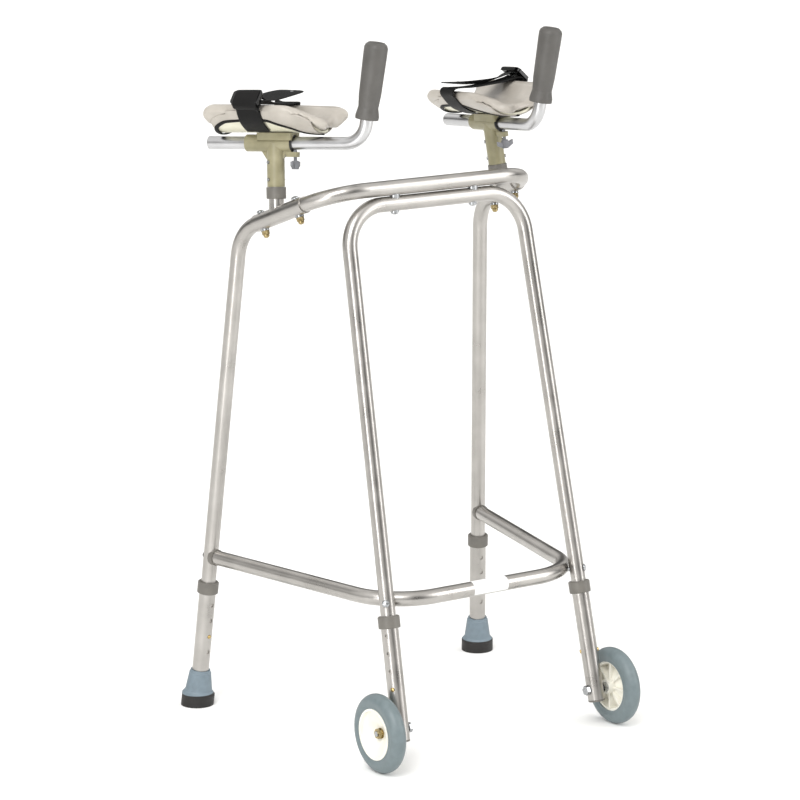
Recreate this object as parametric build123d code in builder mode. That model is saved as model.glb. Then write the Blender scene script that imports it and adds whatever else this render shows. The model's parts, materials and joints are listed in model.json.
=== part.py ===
"""Walking frame with forearm troughs, front wheels and rear ferrules (millimetres).

The user stands inside the frame and looks along -Y, so +X is the user's left and +Z is up.
The origin is on the floor, under the middle of the frame's bounding box. Each side piece is
modelled on the left and mirrored; the two trough assemblies are modelled in their own frame
(X forward along the handle tube, Y left, Z up, origin where the tube crosses the post) and
then set on their posts at different swivel angles.
"""
import os
from math import cos, radians, sin

from build123d import *

# ---- tube stock ------------------------------------------------------------------------------
TUBE_R = 11.1            # frame tube, 22.2 outside diameter
TUBE_WALL = 1.4
LOWER_R = 12.7           # lower leg tube and rail sleeve, 25.4 outside diameter
RUNNING = 0.05           # radial clearance wherever a piece slides or turns
SEAT = 0.02              # radial clearance of fixed seats
SEAT_GAP = 0.35          # between a flat washer and a leaning tube
FRAME_BEND = 62          # centreline radius of the leg and hoop bends
RAIL_BEND = 72           # centreline radius of the two front corners of the top rail
BRACE_BEND = 90          # centreline radius of the lower brace corners

# ---- skeleton of the left side: corner points of the tube centrelines ------------------------
REAR_FOOT = Vector(261, 230, 0)
REAR_CORNER = Vector(216, 164, 738)
RAIL_CORNER = Vector(178, -25, 813.6)
FRONT_FOOT = Vector(176.9, -211.3, 0)
FRONT_CORNER = Vector(153.4, -25, 790.2)
BRACE_HEIGHT = 235.5
BRACE_CORNER = Vector(166, -162, BRACE_HEIGHT)

# ---- legs ------------------------------------------------------------------------------------
HOLE_PITCH = 25          # height steps of all four legs
HOLE_COUNT = 4
HOLE_R = 3.3
REAR_HOLE_LOW = 86       # lowest hole above the floor
REAR_BUTTON = REAR_HOLE_LOW + HOLE_PITCH
FRONT_HOLE_LOW = 115
FRONT_BUTTON = FRONT_HOLE_LOW
REAR_LOWER = (10, 192)                # bottom and top height of the lower tubes
FRONT_LOWER = (43, 214)
REAR_UPPER_END = 60                   # height of the upper tubes' hidden ends
FRONT_UPPER_END = 78
COLLAR_R = 16
COLLAR_HEIGHT = 18
COLLAR_LIP = 4
PLUG_DEPTH = 7
FERRULE_TOP = 56
FERRULE_FLOOR = 9.5      # thickness of rubber under the tube
FERRULE_PROFILE = ((14.9, FERRULE_TOP), (15.6, 53), (16.6, 52), (20.5, 24), (22.6, 21), (23.4, 19),
                   (25, 18), (25, 2))

# ---- wheels ----------------------------------------------------------------------------------
WHEEL_R = 58
WHEEL_X = 210
TYRE_INNER_R = 37.5
TYRE_WIDTH = 24
TYRE_BEAD = 22           # width of the tyre where it sits on the rim
RIM_FACE = 12            # the rim's and the boss's faces, from the wheel's middle plane
HUB_FACE = -2
HUB_INSIDE = -15
HUB_BOSS_R = 11
AXLE_R = 4
AXLE_HEAD = 5.3
AXLE_FLATS = 13
AXLE_NUT = 6
AXLE_WASHER = 1.4
RIBS = 8
RIB_THICK = 2.4

# ---- snap buttons ----------------------------------------------------------------------------
BUTTON_R = 3.05
BUTTON_PROUD = 1.9
LEAF = (0.8, 7, 34)      # spring leaf: thickness, width, length

# ---- rail sleeve, post and fixings -----------------------------------------------------------
SLEEVE = (39, 148)       # start and end, measured along the rail from the rear corner
TUBE_JOINT = 90          # where the leg tube ends and the rail tube starts, inside the sleeve
SLEEVE_BOLTS = (52, 131)
POST_ALONG = 84
POST_TOP = Vector(192.3, 102.4, 872.8)
POST_HEIGHT = 84         # top of the post above the rail centreline
CROSSBAR_BOLT_X = 69
BOLT_R = 3
BOLT_TAIL = 7            # bolt end past the sleeve
PAN_HEAD = ((0, 0), (5.6, 0), (5.6, 1.2), (4.4, 2.8), (2.4, 3.5), (0, 3.6))
RIVET_HEAD = ((0, 0), (5.5, 0), (5.2, 1.1), (3.6, 2.3), (0, 2.9))
NUT_FLATS = 10
NUT_HEIGHT = 5.5
NUT_DOME = ((0, 0), (4.6, 0), (4.4, 2.6), (3, 4.6), (0, 5.4))
WASHER_R = 6.5
SPACER_R = 7.5
SADDLE_THICK = 3.2

# ---- trough assembly, in its own frame -------------------------------------------------------
CLAMP_HEIGHT = 105.6     # handle tube centreline above the rail centreline, along the post
SETTINGS = {             # swivel from straight ahead (left +), nose down, handle reach, handle roll
    "left": (-1.9, 3.3, 124.5, 10.8),
    "right": (32.7, 1.4, 140.0, -5.7),
}
HANDLE_R = 9.5
HANDLE_WALL = 1.5
HANDLE_LENGTH = 246.5    # straight part, to the corner below the grip
HANDLE_BEND = 34
GRIP_LEAN = 10.1
GRIP_START = 36
GRIP_PROFILE = ((17, 0), (17.2, 5), (14.6, 17), (15.4, 26), (16.2, 36), (17.3, 92), (17.3, 104))
GRIP_LENGTH = 111
SOCKET_R = 13
SOCKET_BOTTOM = -63.6
CLAMP_R = 12.5
CLAMP = (-45, 27)
BUSH_LENGTH = 37
BUSH_R = HANDLE_R + 1.3
LUG = (18, 38)
SCREW_X = 32
PLATE = (-24, 32)
PLATE_TOP = 15
SHELL_CENTRE = -4        # middle of the shell along the tube
SHELL = (3, 160, 98, 40)  # thickness, length, width, rim height
SHELL_CORNER = 38
TROUGH_RIM = 57
PAD_R = 61               # outside radius of the pad's channel
PAD_THICK = 12
PAD_SIDE = ((-82, 0), (-97, 38), (-78, 60), (62, 60), (98, 42), (84, 0))   # outline of the pad's walls
PAD_EDGE = 8             # rounding of that outline
STRAP_X = (-36, 3)
STRAP_THICK = 1.6
STRAP_END = 18           # the strap's two ends leave the shell this far from the middle
BUCKLE = (46, 24, 5)
SET_SCREW_DROPS = (28, 53)
SET_SCREW_R = 2.5
SET_SCREW_ANGLE = 60     # from straight ahead, round the socket
SHELL_SCREW_INSET = 8    # from either end of the plate

FROM_END = (Align.CENTER, Align.CENTER, Align.MIN)       # a bar that starts at its plane

os.makedirs("parts", exist_ok=True)


def save(part, name):
    """Labels a finished piece and writes it as its own STEP file."""
    part.label = name
    export_step(part, f"parts/{name}.step")


def save_pair(builder, name):
    """Writes the left piece and its mirror image."""
    save(builder.part, name + "_left")
    save(mirror(builder.part, about=Plane.YZ), name + "_right")


def at_height(low, high, z):
    """The point of the line low-high at height z."""
    return low + (high - low) * ((z - low.Z) / (high.Z - low.Z))


def along(start, end, distance):
    """The point at a distance from start towards end."""
    return start + (end - start).normalized() * distance


def flip(point):
    """The mirror image of a left-hand point."""
    return Vector(-point.X, point.Y, point.Z)


def tube(points, bends, radius, wall):
    """A bent tube along straight runs joined by tangent arcs."""
    with BuildPart() as bent:
        with BuildLine() as route:
            FilletPolyline(*points, radius=bends)
        with BuildSketch(Plane(route.line @ 0, z_dir=route.line % 0)):
            Circle(radius)
            Circle(radius - wall, mode=Mode.SUBTRACT)
        sweep()
    return bent.part


def rod(start, end, radius):
    """A plain round bar between two points, kept out of the current builder."""
    axis = end - start
    bar = Cylinder(radius, axis.length, align=FROM_END, mode=Mode.PRIVATE)
    return Plane(start, z_dir=axis).location * bar


def turned(profile, place):
    """A solid of revolution from (radius, height) points, placed on a plane's normal."""
    with BuildPart() as lathe:
        with BuildSketch(Plane.XZ):
            with BuildLine():
                Polyline(*profile, close=True)
            make_face()
        revolve(axis=Axis.Z)
    return place.location * lathe.part


def square_to(direction, towards):
    """The unit vector square to direction that lies nearest to another direction."""
    return (towards - direction * towards.dot(direction)).normalized()


# ---- directions of the left side -------------------------------------------------------------
REAR_UP = (REAR_CORNER - REAR_FOOT).normalized()
FRONT_UP = (FRONT_CORNER - FRONT_FOOT).normalized()
RAIL_FORWARD = (RAIL_CORNER - REAR_CORNER).normalized()
RAIL_UP = square_to(RAIL_FORWARD, Vector(0, 0, 1))
POST_FOOT = along(REAR_CORNER, RAIL_CORNER, POST_ALONG)
POST_UP = (POST_TOP - POST_FOOT).normalized()
REAR_HOLE_OUT = square_to(REAR_UP, Vector(-0.19, -1, 0))
FRONT_HOLE_OUT = square_to(FRONT_UP, Vector(0.83, -0.56, 0))
BRACE_REAR = at_height(REAR_FOOT, REAR_CORNER, BRACE_HEIGHT)
BRACE_BACK = (BRACE_REAR - BRACE_CORNER).normalized()
FRONT_AT_BRACE = at_height(FRONT_FOOT, FRONT_CORNER, BRACE_HEIGHT)

# centre of the brace's bend, which points the front rivet through the leg
corner_bisector = (BRACE_BACK + Vector(-1, 0, 0)).normalized()
half_corner = BRACE_BACK.get_angle(Vector(-1, 0, 0)) / 2
BRACE_BEND_CENTRE = BRACE_CORNER + corner_bisector * (BRACE_BEND / sin(radians(half_corner)))
RIVET_OUT = square_to(FRONT_UP, FRONT_AT_BRACE - BRACE_BEND_CENTRE)


def sleeve_bolt_points(distance):
    """Top and bottom of the seat of one sleeve bolt, on the sleeve's skin."""
    centre = along(REAR_CORNER, RAIL_CORNER, distance)
    return centre + RAIL_UP * LOWER_R, centre - RAIL_UP * LOWER_R


# ---- frame tubes -----------------------------------------------------------------------------
button_seat = BUTTON_R + 0.2
with BuildPart() as rear_leg:
    add(tube([at_height(REAR_FOOT, REAR_CORNER, REAR_UPPER_END), REAR_CORNER,
              along(REAR_CORNER, RAIL_CORNER, TUBE_JOINT)], FRAME_BEND, TUBE_R, TUBE_WALL))
    button_centre = at_height(REAR_FOOT, REAR_CORNER, REAR_BUTTON)
    add(rod(button_centre, button_centre + REAR_HOLE_OUT * LOWER_R, button_seat), mode=Mode.SUBTRACT)
    top, bottom = sleeve_bolt_points(SLEEVE_BOLTS[0])
    add(rod(bottom, top, BOLT_R + SEAT), mode=Mode.SUBTRACT)
    across = BRACE_BACK * LOWER_R
    add(rod(BRACE_REAR - across, BRACE_REAR + across, BOLT_R + SEAT), mode=Mode.SUBTRACT)
save_pair(rear_leg, "rear_leg")

rail_start = along(REAR_CORNER, RAIL_CORNER, TUBE_JOINT + 0.3)
with BuildPart() as top_rail:
    add(tube([rail_start, RAIL_CORNER, flip(RAIL_CORNER), flip(rail_start)], RAIL_BEND, TUBE_R, TUBE_WALL))
    top, bottom = sleeve_bolt_points(SLEEVE_BOLTS[1])
    for high, low in ((top, bottom), (flip(top), flip(bottom))):
        add(rod(low, high, BOLT_R + SEAT), mode=Mode.SUBTRACT)
    for x in (-CROSSBAR_BOLT_X, CROSSBAR_BOLT_X):
        below = Vector(x, RAIL_CORNER.Y, FRONT_CORNER.Z)
        add(rod(below, Vector(x, RAIL_CORNER.Y, RAIL_CORNER.Z), BOLT_R + SEAT), mode=Mode.SUBTRACT)
save(top_rail.part, "top_rail")

hoop_end = at_height(FRONT_FOOT, FRONT_CORNER, FRONT_UPPER_END)
with BuildPart() as front_hoop:
    add(tube([hoop_end, FRONT_CORNER, flip(FRONT_CORNER), flip(hoop_end)], FRAME_BEND, TUBE_R, TUBE_WALL))
    centre = at_height(FRONT_FOOT, FRONT_CORNER, FRONT_BUTTON)
    across = FRONT_HOLE_OUT * LOWER_R
    inner, outer = FRONT_AT_BRACE - RIVET_OUT * LOWER_R, FRONT_AT_BRACE + RIVET_OUT * LOWER_R
    add(rod(centre - across, centre + across, button_seat), mode=Mode.SUBTRACT)
    add(rod(flip(centre - across), flip(centre + across), button_seat), mode=Mode.SUBTRACT)
    add(rod(inner, outer, BOLT_R + SEAT), mode=Mode.SUBTRACT)
    add(rod(flip(inner), flip(outer), BOLT_R + SEAT), mode=Mode.SUBTRACT)
    for x in (-CROSSBAR_BOLT_X, CROSSBAR_BOLT_X):
        low = Vector(x, FRONT_CORNER.Y, FRONT_CORNER.Z - LOWER_R)
        add(rod(low, low + Vector(0, 0, 2 * LOWER_R), BOLT_R + SEAT), mode=Mode.SUBTRACT)
save(front_hoop.part, "front_hoop")

brace_end = BRACE_REAR - BRACE_BACK * (TUBE_R + SADDLE_THICK)
brace_rivet_start = FRONT_AT_BRACE - RIVET_OUT * (3 * TUBE_R + 2)
with BuildPart() as lower_brace:
    add(tube([brace_end, BRACE_CORNER, flip(BRACE_CORNER), flip(brace_end)], BRACE_BEND, TUBE_R, TUBE_WALL))
    add(rod(brace_rivet_start, FRONT_AT_BRACE, BOLT_R + SEAT), mode=Mode.SUBTRACT)
    add(rod(flip(brace_rivet_start), flip(FRONT_AT_BRACE), BOLT_R + SEAT), mode=Mode.SUBTRACT)
save(lower_brace.part, "lower_brace")

# ---- rail sleeve with its welded post --------------------------------------------------------
with BuildPart() as post_sleeve:
    sleeve_start, sleeve_end = (along(REAR_CORNER, RAIL_CORNER, s) for s in SLEEVE)
    add(rod(sleeve_start, sleeve_end, LOWER_R))
    add(rod(POST_FOOT, POST_FOOT + POST_UP * POST_HEIGHT, TUBE_R))
    add(rod(POST_FOOT, POST_FOOT + POST_UP * POST_HEIGHT, TUBE_R - TUBE_WALL), mode=Mode.SUBTRACT)
    add(rod(sleeve_start, sleeve_end, TUBE_R + SEAT), mode=Mode.SUBTRACT)
    for distance in SLEEVE_BOLTS:
        top, bottom = sleeve_bolt_points(distance)
        add(rod(bottom - RAIL_UP, top + RAIL_UP, BOLT_R + SEAT), mode=Mode.SUBTRACT)
save_pair(post_sleeve, "post_sleeve")

# ---- fixings of the frame --------------------------------------------------------------------
with BuildPart() as left_bolts:
    for distance in SLEEVE_BOLTS:
        top, bottom = sleeve_bolt_points(distance)
        add(rod(bottom - RAIL_UP * BOLT_TAIL, top + RAIL_UP * 0.7, BOLT_R))
        add(turned(PAN_HEAD, Plane(top + RAIL_UP * 0.6, z_dir=RAIL_UP)))
    screw_low = Vector(CROSSBAR_BOLT_X, FRONT_CORNER.Y, FRONT_CORNER.Z - TUBE_R - 1.6)
    add(rod(screw_low, Vector(CROSSBAR_BOLT_X, RAIL_CORNER.Y, RAIL_CORNER.Z - 3), BOLT_R))
    add(turned(PAN_HEAD, Plane(screw_low + Vector(0, 0, 0.1), z_dir=(0, 0, -1))))
with BuildPart() as frame_bolts:
    add(left_bolts.part)
    mirror(about=Plane.YZ)
save(frame_bolts.part, "frame_bolts")

with BuildPart() as left_nuts:
    for distance in SLEEVE_BOLTS:
        seat = sleeve_bolt_points(distance)[1] - RAIL_UP * 2
        with BuildSketch(Plane(seat, z_dir=-RAIL_UP)):
            RegularPolygon(NUT_FLATS / 2, 6, major_radius=False)
        extrude(amount=NUT_HEIGHT)
        add(turned(NUT_DOME, Plane(seat - RAIL_UP * NUT_HEIGHT, z_dir=-RAIL_UP)))
        add(rod(seat + RAIL_UP, seat - RAIL_UP * 5.2, BOLT_R + SEAT), mode=Mode.SUBTRACT)
with BuildPart() as dome_nuts:
    add(left_nuts.part)
    mirror(about=Plane.YZ)
save(dome_nuts.part, "dome_nuts")


def saddle(centre, outward, tube_direction, tube_radius, size, thickness, bore):
    """A washer with one hollow face that sits on a tube: a round pad cut by the tube's own surface."""
    place = Plane(centre, z_dir=outward)
    reach = tube_direction * 40
    with BuildPart() as piece:
        add(place.location * Cylinder(size, tube_radius + thickness, align=FROM_END, mode=Mode.PRIVATE))
        add(rod(centre - reach, centre + reach, tube_radius + SEAT), mode=Mode.SUBTRACT)
        add(rod(centre, centre + outward * (tube_radius + thickness + 1), bore), mode=Mode.SUBTRACT)
    return piece.part


with BuildPart() as left_saddles:
    for distance in SLEEVE_BOLTS:
        centre = along(REAR_CORNER, RAIL_CORNER, distance)
        add(saddle(centre, -RAIL_UP, RAIL_FORWARD, LOWER_R, WASHER_R, 2, BOLT_R + SEAT))
    hoop_centre = Vector(CROSSBAR_BOLT_X, FRONT_CORNER.Y, FRONT_CORNER.Z)
    add(saddle(hoop_centre, Vector(0, 0, -1), Vector(1, 0, 0), TUBE_R, WASHER_R, 1.5, BOLT_R + SEAT))
    spacer = saddle(hoop_centre, Vector(0, 0, 1), Vector(1, 0, 0), TUBE_R, SPACER_R, 4, BOLT_R + SEAT)
    rail_centre = Vector(CROSSBAR_BOLT_X, RAIL_CORNER.Y, RAIL_CORNER.Z)
    reach = Vector(20, 0, 0)
    add(spacer - rod(rail_centre - reach, rail_centre + reach, TUBE_R + SEAT))
with BuildPart() as saddle_washers:
    add(left_saddles.part)
    mirror(about=Plane.YZ)
save(saddle_washers.part, "saddle_washers")

with BuildPart() as brace_saddle:
    add(rod(brace_end + BRACE_BACK * (SADDLE_THICK + TUBE_R / 2), brace_end, TUBE_R + 1.2))
    add(rod(brace_end, brace_end - BRACE_BACK * 14, TUBE_R - TUBE_WALL - SEAT))
    add(rod(BRACE_REAR - REAR_UP * 30, BRACE_REAR + REAR_UP * 30, TUBE_R + SEAT), mode=Mode.SUBTRACT)
    add(rod(BRACE_REAR, brace_end - BRACE_BACK * 15, BOLT_R + SEAT), mode=Mode.SUBTRACT)
with BuildPart() as brace_saddles:
    add(brace_saddle.part)
    mirror(about=Plane.YZ)
save(brace_saddles.part, "brace_saddles")

with BuildPart() as left_rivets:
    rear_seat = BRACE_REAR + BRACE_BACK * TUBE_R
    add(rod(brace_end - BRACE_BACK * 12, rear_seat + BRACE_BACK * 0.9, BOLT_R))
    add(turned(RIVET_HEAD, Plane(rear_seat + BRACE_BACK * 0.7, z_dir=BRACE_BACK)))
    front_seat = FRONT_AT_BRACE + RIVET_OUT * TUBE_R
    add(rod(brace_rivet_start + RIVET_OUT * 8, front_seat + RIVET_OUT * 0.3, BOLT_R))
    add(turned(RIVET_HEAD, Plane(front_seat + RIVET_OUT * 0.1, z_dir=RIVET_OUT)))
with BuildPart() as brace_rivets:
    add(left_rivets.part)
    mirror(about=Plane.YZ)
save(brace_rivets.part, "brace_rivets")


# ---- adjustable legs -------------------------------------------------------------------------
def lower_tube(foot, corner, span, lowest_hole, hole_out, through):
    """A lower leg tube with its row of button holes, drilled on one side or right through."""
    low, high = (at_height(foot, corner, z) for z in span)
    with BuildPart() as piece:
        add(rod(low, high, LOWER_R))
        add(rod(low, high, TUBE_R + RUNNING), mode=Mode.SUBTRACT)
        for step in range(HOLE_COUNT):
            centre = at_height(foot, corner, lowest_hole + step * HOLE_PITCH)
            start = centre - hole_out * (LOWER_R + 1) if through else centre
            add(rod(start, centre + hole_out * (LOWER_R + 1), HOLE_R), mode=Mode.SUBTRACT)
    return piece.part


def collar(foot, corner, top_height):
    """The plastic collar pushed on the top of a lower tube, which guides the upper tube."""
    place = Plane(at_height(foot, corner, top_height), z_dir=corner - foot)
    inside, outside = TUBE_R + RUNNING, LOWER_R + SEAT
    skirt = COLLAR_LIP - COLLAR_HEIGHT
    profile = ((outside, skirt), (COLLAR_R - 0.8, skirt), (COLLAR_R, skirt + 0.8),
               (COLLAR_R, COLLAR_LIP - 1.5), (COLLAR_R - 1.5, COLLAR_LIP), (inside, COLLAR_LIP),
               (inside, 0.1), (outside, 0.1))
    return turned(profile, place)


with BuildPart() as rear_lower_tube:
    add(lower_tube(REAR_FOOT, REAR_CORNER, REAR_LOWER, REAR_HOLE_LOW, REAR_HOLE_OUT, False))
save_pair(rear_lower_tube, "rear_lower_tube")

with BuildPart() as rear_leg_collar:
    add(collar(REAR_FOOT, REAR_CORNER, REAR_LOWER[1]))
save_pair(rear_leg_collar, "rear_leg_collar")

with BuildPart() as rear_ferrule:
    below, bore = -4, LOWER_R + SEAT
    inside = ((FERRULE_PROFILE[-1][0], below), (0, below), (0, FERRULE_FLOOR), (bore, FERRULE_FLOOR),
              (bore, FERRULE_TOP))
    add(turned(FERRULE_PROFILE + inside, Plane(REAR_FOOT, z_dir=REAR_UP)))
    split(bisect_by=Plane.XY, keep=Keep.TOP)
save_pair(rear_ferrule, "rear_ferrule")

axle_centre = at_height(FRONT_FOOT, FRONT_CORNER, WHEEL_R)
HEAD_X = axle_centre.X - LOWER_R - SEAT_GAP
with BuildPart() as front_lower_tube:
    add(lower_tube(FRONT_FOOT, FRONT_CORNER, FRONT_LOWER, FRONT_HOLE_LOW, FRONT_HOLE_OUT, True))
    across = Vector(20, 0, 0)
    add(rod(axle_centre - across, axle_centre + across, AXLE_R + SEAT), mode=Mode.SUBTRACT)
save_pair(front_lower_tube, "front_lower_tube")

with BuildPart() as front_leg_collar:
    add(collar(FRONT_FOOT, FRONT_CORNER, FRONT_LOWER[1]))
save_pair(front_leg_collar, "front_leg_collar")

with BuildPart() as front_tube_plug:
    plug_r = TUBE_R - 0.05
    cap = ((0, -3), (LOWER_R - 1, -3), (LOWER_R, -2), (LOWER_R, -0.1))
    stem = ((plug_r, -0.1), (plug_r, PLUG_DEPTH), (0, PLUG_DEPTH))
    add(turned(cap + stem, Plane(at_height(FRONT_FOOT, FRONT_CORNER, FRONT_LOWER[0]), z_dir=FRONT_UP)))
save_pair(front_tube_plug, "front_tube_plug")

# ---- wheels: hub and tyre turn on an axle bolt that is fixed in the lower tube ---------------
hub_inside = WHEEL_X + HUB_INSIDE
hub_outside = WHEEL_X + HUB_FACE
AXLE_Y, AXLE_Z = axle_centre.Y, axle_centre.Z


def axle_plane(x):
    """A plane square to the axle, with its local X down the wheel."""
    return Plane(origin=(x, AXLE_Y, AXLE_Z), x_dir=(0, 1, 0), z_dir=(1, 0, 0))


with BuildPart() as axle_bolt:
    with BuildSketch(axle_plane(HEAD_X - AXLE_HEAD)):
        RegularPolygon(AXLE_FLATS / 2, 6, major_radius=False)
    extrude(amount=AXLE_HEAD)
    with BuildSketch(axle_plane(HEAD_X)):
        Circle(AXLE_R)
    extrude(amount=hub_outside + 9 - HEAD_X)
with BuildPart() as axle_spacer:
    with BuildSketch(axle_plane(axle_centre.X + LOWER_R + SEAT_GAP)):
        Circle(7.5)
        Circle(AXLE_R + SEAT, mode=Mode.SUBTRACT)
    extrude(amount=hub_inside - 0.3 - (axle_centre.X + LOWER_R + SEAT_GAP))
with BuildPart() as axle_fixing:
    add(axle_bolt.part)
    add(axle_spacer.part)
save_pair(axle_fixing, "axle_bolt")

with BuildPart() as axle_nut:
    with BuildSketch(axle_plane(hub_outside + 0.3)):
        Circle(8)
    extrude(amount=AXLE_WASHER)
    with BuildSketch(axle_plane(hub_outside + 0.3 + AXLE_WASHER)):
        RegularPolygon(AXLE_FLATS / 2, 6, major_radius=False)
    extrude(amount=AXLE_NUT)
    with BuildSketch(axle_plane(hub_outside)):
        Circle(AXLE_R + SEAT)
    extrude(amount=9, mode=Mode.SUBTRACT)
save_pair(axle_nut, "axle_nut")

with BuildPart() as wheel_tyre:
    with BuildSketch(Plane.XY):
        crown_r = WHEEL_R - TYRE_WIDTH / 2
        with Locations((0, crown_r)):
            Circle(TYRE_WIDTH / 2)
        with Locations((0, (TYRE_INNER_R + crown_r) / 2)):
            Rectangle(TYRE_BEAD, crown_r - TYRE_INNER_R)
        with Locations((0, TYRE_INNER_R)):
            Rectangle(TYRE_WIDTH, TYRE_WIDTH, align=(Align.CENTER, Align.MAX), mode=Mode.SUBTRACT)
    revolve(axis=Axis.X)
with BuildPart() as placed_tyre:
    add(Location((WHEEL_X, AXLE_Y, AXLE_Z)) * wheel_tyre.part)
save_pair(placed_tyre, "wheel_tyre")

RIM_R = TYRE_INNER_R - SEAT
with BuildPart() as hub_blank:
    with BuildSketch(Plane.XY):
        with BuildLine():
            Polyline((HUB_INSIDE, AXLE_R + RUNNING), (HUB_FACE, AXLE_R + RUNNING), (HUB_FACE, 8.5), (8, 32.5),
                     (RIM_FACE, 34.5), (RIM_FACE, RIM_R), (-9, RIM_R), (-9, 34.5), (4.5, 33),
                     (HUB_FACE - 3, HUB_BOSS_R), (HUB_INSIDE, HUB_BOSS_R), close=True)
        make_face()
    revolve(axis=Axis.X)
    for number in range(RIBS):
        turn = radians(360 * number / RIBS)
        with BuildSketch(Plane((0, 0, 0), x_dir=(1, 0, 0), z_dir=(0, -sin(turn), cos(turn)))):
            with BuildLine():
                Polyline((-8, 10.5), (-4, 10.5), (5.5, 33.8), (5.5, 35.5), (-8, 35.5), close=True)
            make_face()
        extrude(amount=RIB_THICK / 2, both=True)
with BuildPart() as wheel_hub:
    add(Location((WHEEL_X, AXLE_Y, AXLE_Z)) * hub_blank.part)
save_pair(wheel_hub, "wheel_hub")


# ---- snap buttons on their spring leaves, inside the upper tubes -----------------------------
def snap_button(foot, corner, height, outward):
    """A domed button on its leaf, seated in the hole of the upper tube."""
    centre = at_height(foot, corner, height)
    up = (corner - foot).normalized()
    thick, width, length = LEAF
    leaf_r = TUBE_R - TUBE_WALL - 1.3
    leaf_place = Plane(origin=centre - up * 11 + outward * (leaf_r - thick / 2), x_dir=outward, z_dir=up)
    head = LOWER_R + BUTTON_PROUD
    back = leaf_r - thick
    dome = ((0, back), (BUTTON_R, back), (BUTTON_R, head - 1.4), (2.2, head - 0.4), (0, head))
    with BuildPart() as piece:
        add(turned(dome, Plane(centre, z_dir=outward)))
        add(leaf_place.location * Box(thick, width, length, mode=Mode.PRIVATE))
    return piece


save_pair(snap_button(REAR_FOOT, REAR_CORNER, REAR_BUTTON, REAR_HOLE_OUT), "rear_leg_button")
save_pair(snap_button(FRONT_FOOT, FRONT_CORNER, FRONT_BUTTON, FRONT_HOLE_OUT), "front_leg_button_outer")
save_pair(snap_button(FRONT_FOOT, FRONT_CORNER, FRONT_BUTTON, -FRONT_HOLE_OUT), "front_leg_button_inner")


# ---- trough assemblies -----------------------------------------------------------------------
def bar(plane, radius, length):
    """A round bar along a plane's normal, kept out of the current builder."""
    return plane.location * Cylinder(radius, length, align=FROM_END, mode=Mode.PRIVATE)


def tube_plane(x):
    """A plane square to the handle tube."""
    return Plane(origin=(x, 0, 0), x_dir=(0, 1, 0), z_dir=(1, 0, 0))


def trough_frame(side):
    """The plane of one trough assembly: local X forward, Z up, origin where tube and post axes meet."""
    swivel, nose_down, _, _ = SETTINGS[side]
    foot, up = POST_FOOT, POST_UP
    if side == "right":
        foot, up = flip(foot), flip(up)
    ahead = square_to(up, Vector(0, -1, 0)).rotate(Axis((0, 0, 0), up), swivel)
    left = up.cross(ahead)
    forward = ahead * cos(radians(nose_down)) - up * sin(radians(nose_down))
    return Plane(origin=foot + up * CLAMP_HEIGHT, x_dir=forward, z_dir=forward.cross(left))


def arc_wall(start, length, outer_r, thickness, rim):
    """The trough's arc-shaped section, cut off at its rim and drawn out along the tube."""
    with BuildPart() as piece:
        with BuildSketch(tube_plane(start)):
            with Locations((0, CHANNEL_Z)):
                Circle(outer_r)
                Circle(outer_r - thickness, mode=Mode.SUBTRACT)
            with Locations((0, rim + outer_r)):
                Rectangle(3 * outer_r, 2 * outer_r, mode=Mode.SUBTRACT)
        extrude(amount=length)
    return piece.part


def shell_screw_places():
    """The two short screws that hold the shell, along the plate."""
    return PLATE[0] + SHELL_SCREW_INSET, PLATE[1] - SHELL_SCREW_INSET


def set_screw_planes(down):
    """Planes of the two pairs of set screws, on the socket's axis, facing out."""
    around = Vector(cos(radians(SET_SCREW_ANGLE)), sin(radians(SET_SCREW_ANGLE)), 0)
    ways = [square_to(down, around), square_to(down, -around)]
    return [Plane(origin=down * drop, z_dir=way) for drop in SET_SCREW_DROPS for way in ways]


shell_thick, shell_length, shell_width, shell_rim = SHELL
CHANNEL_Z = PLATE_TOP + shell_thick + PAD_R + SEAT        # axis of the trough's arcs


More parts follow.
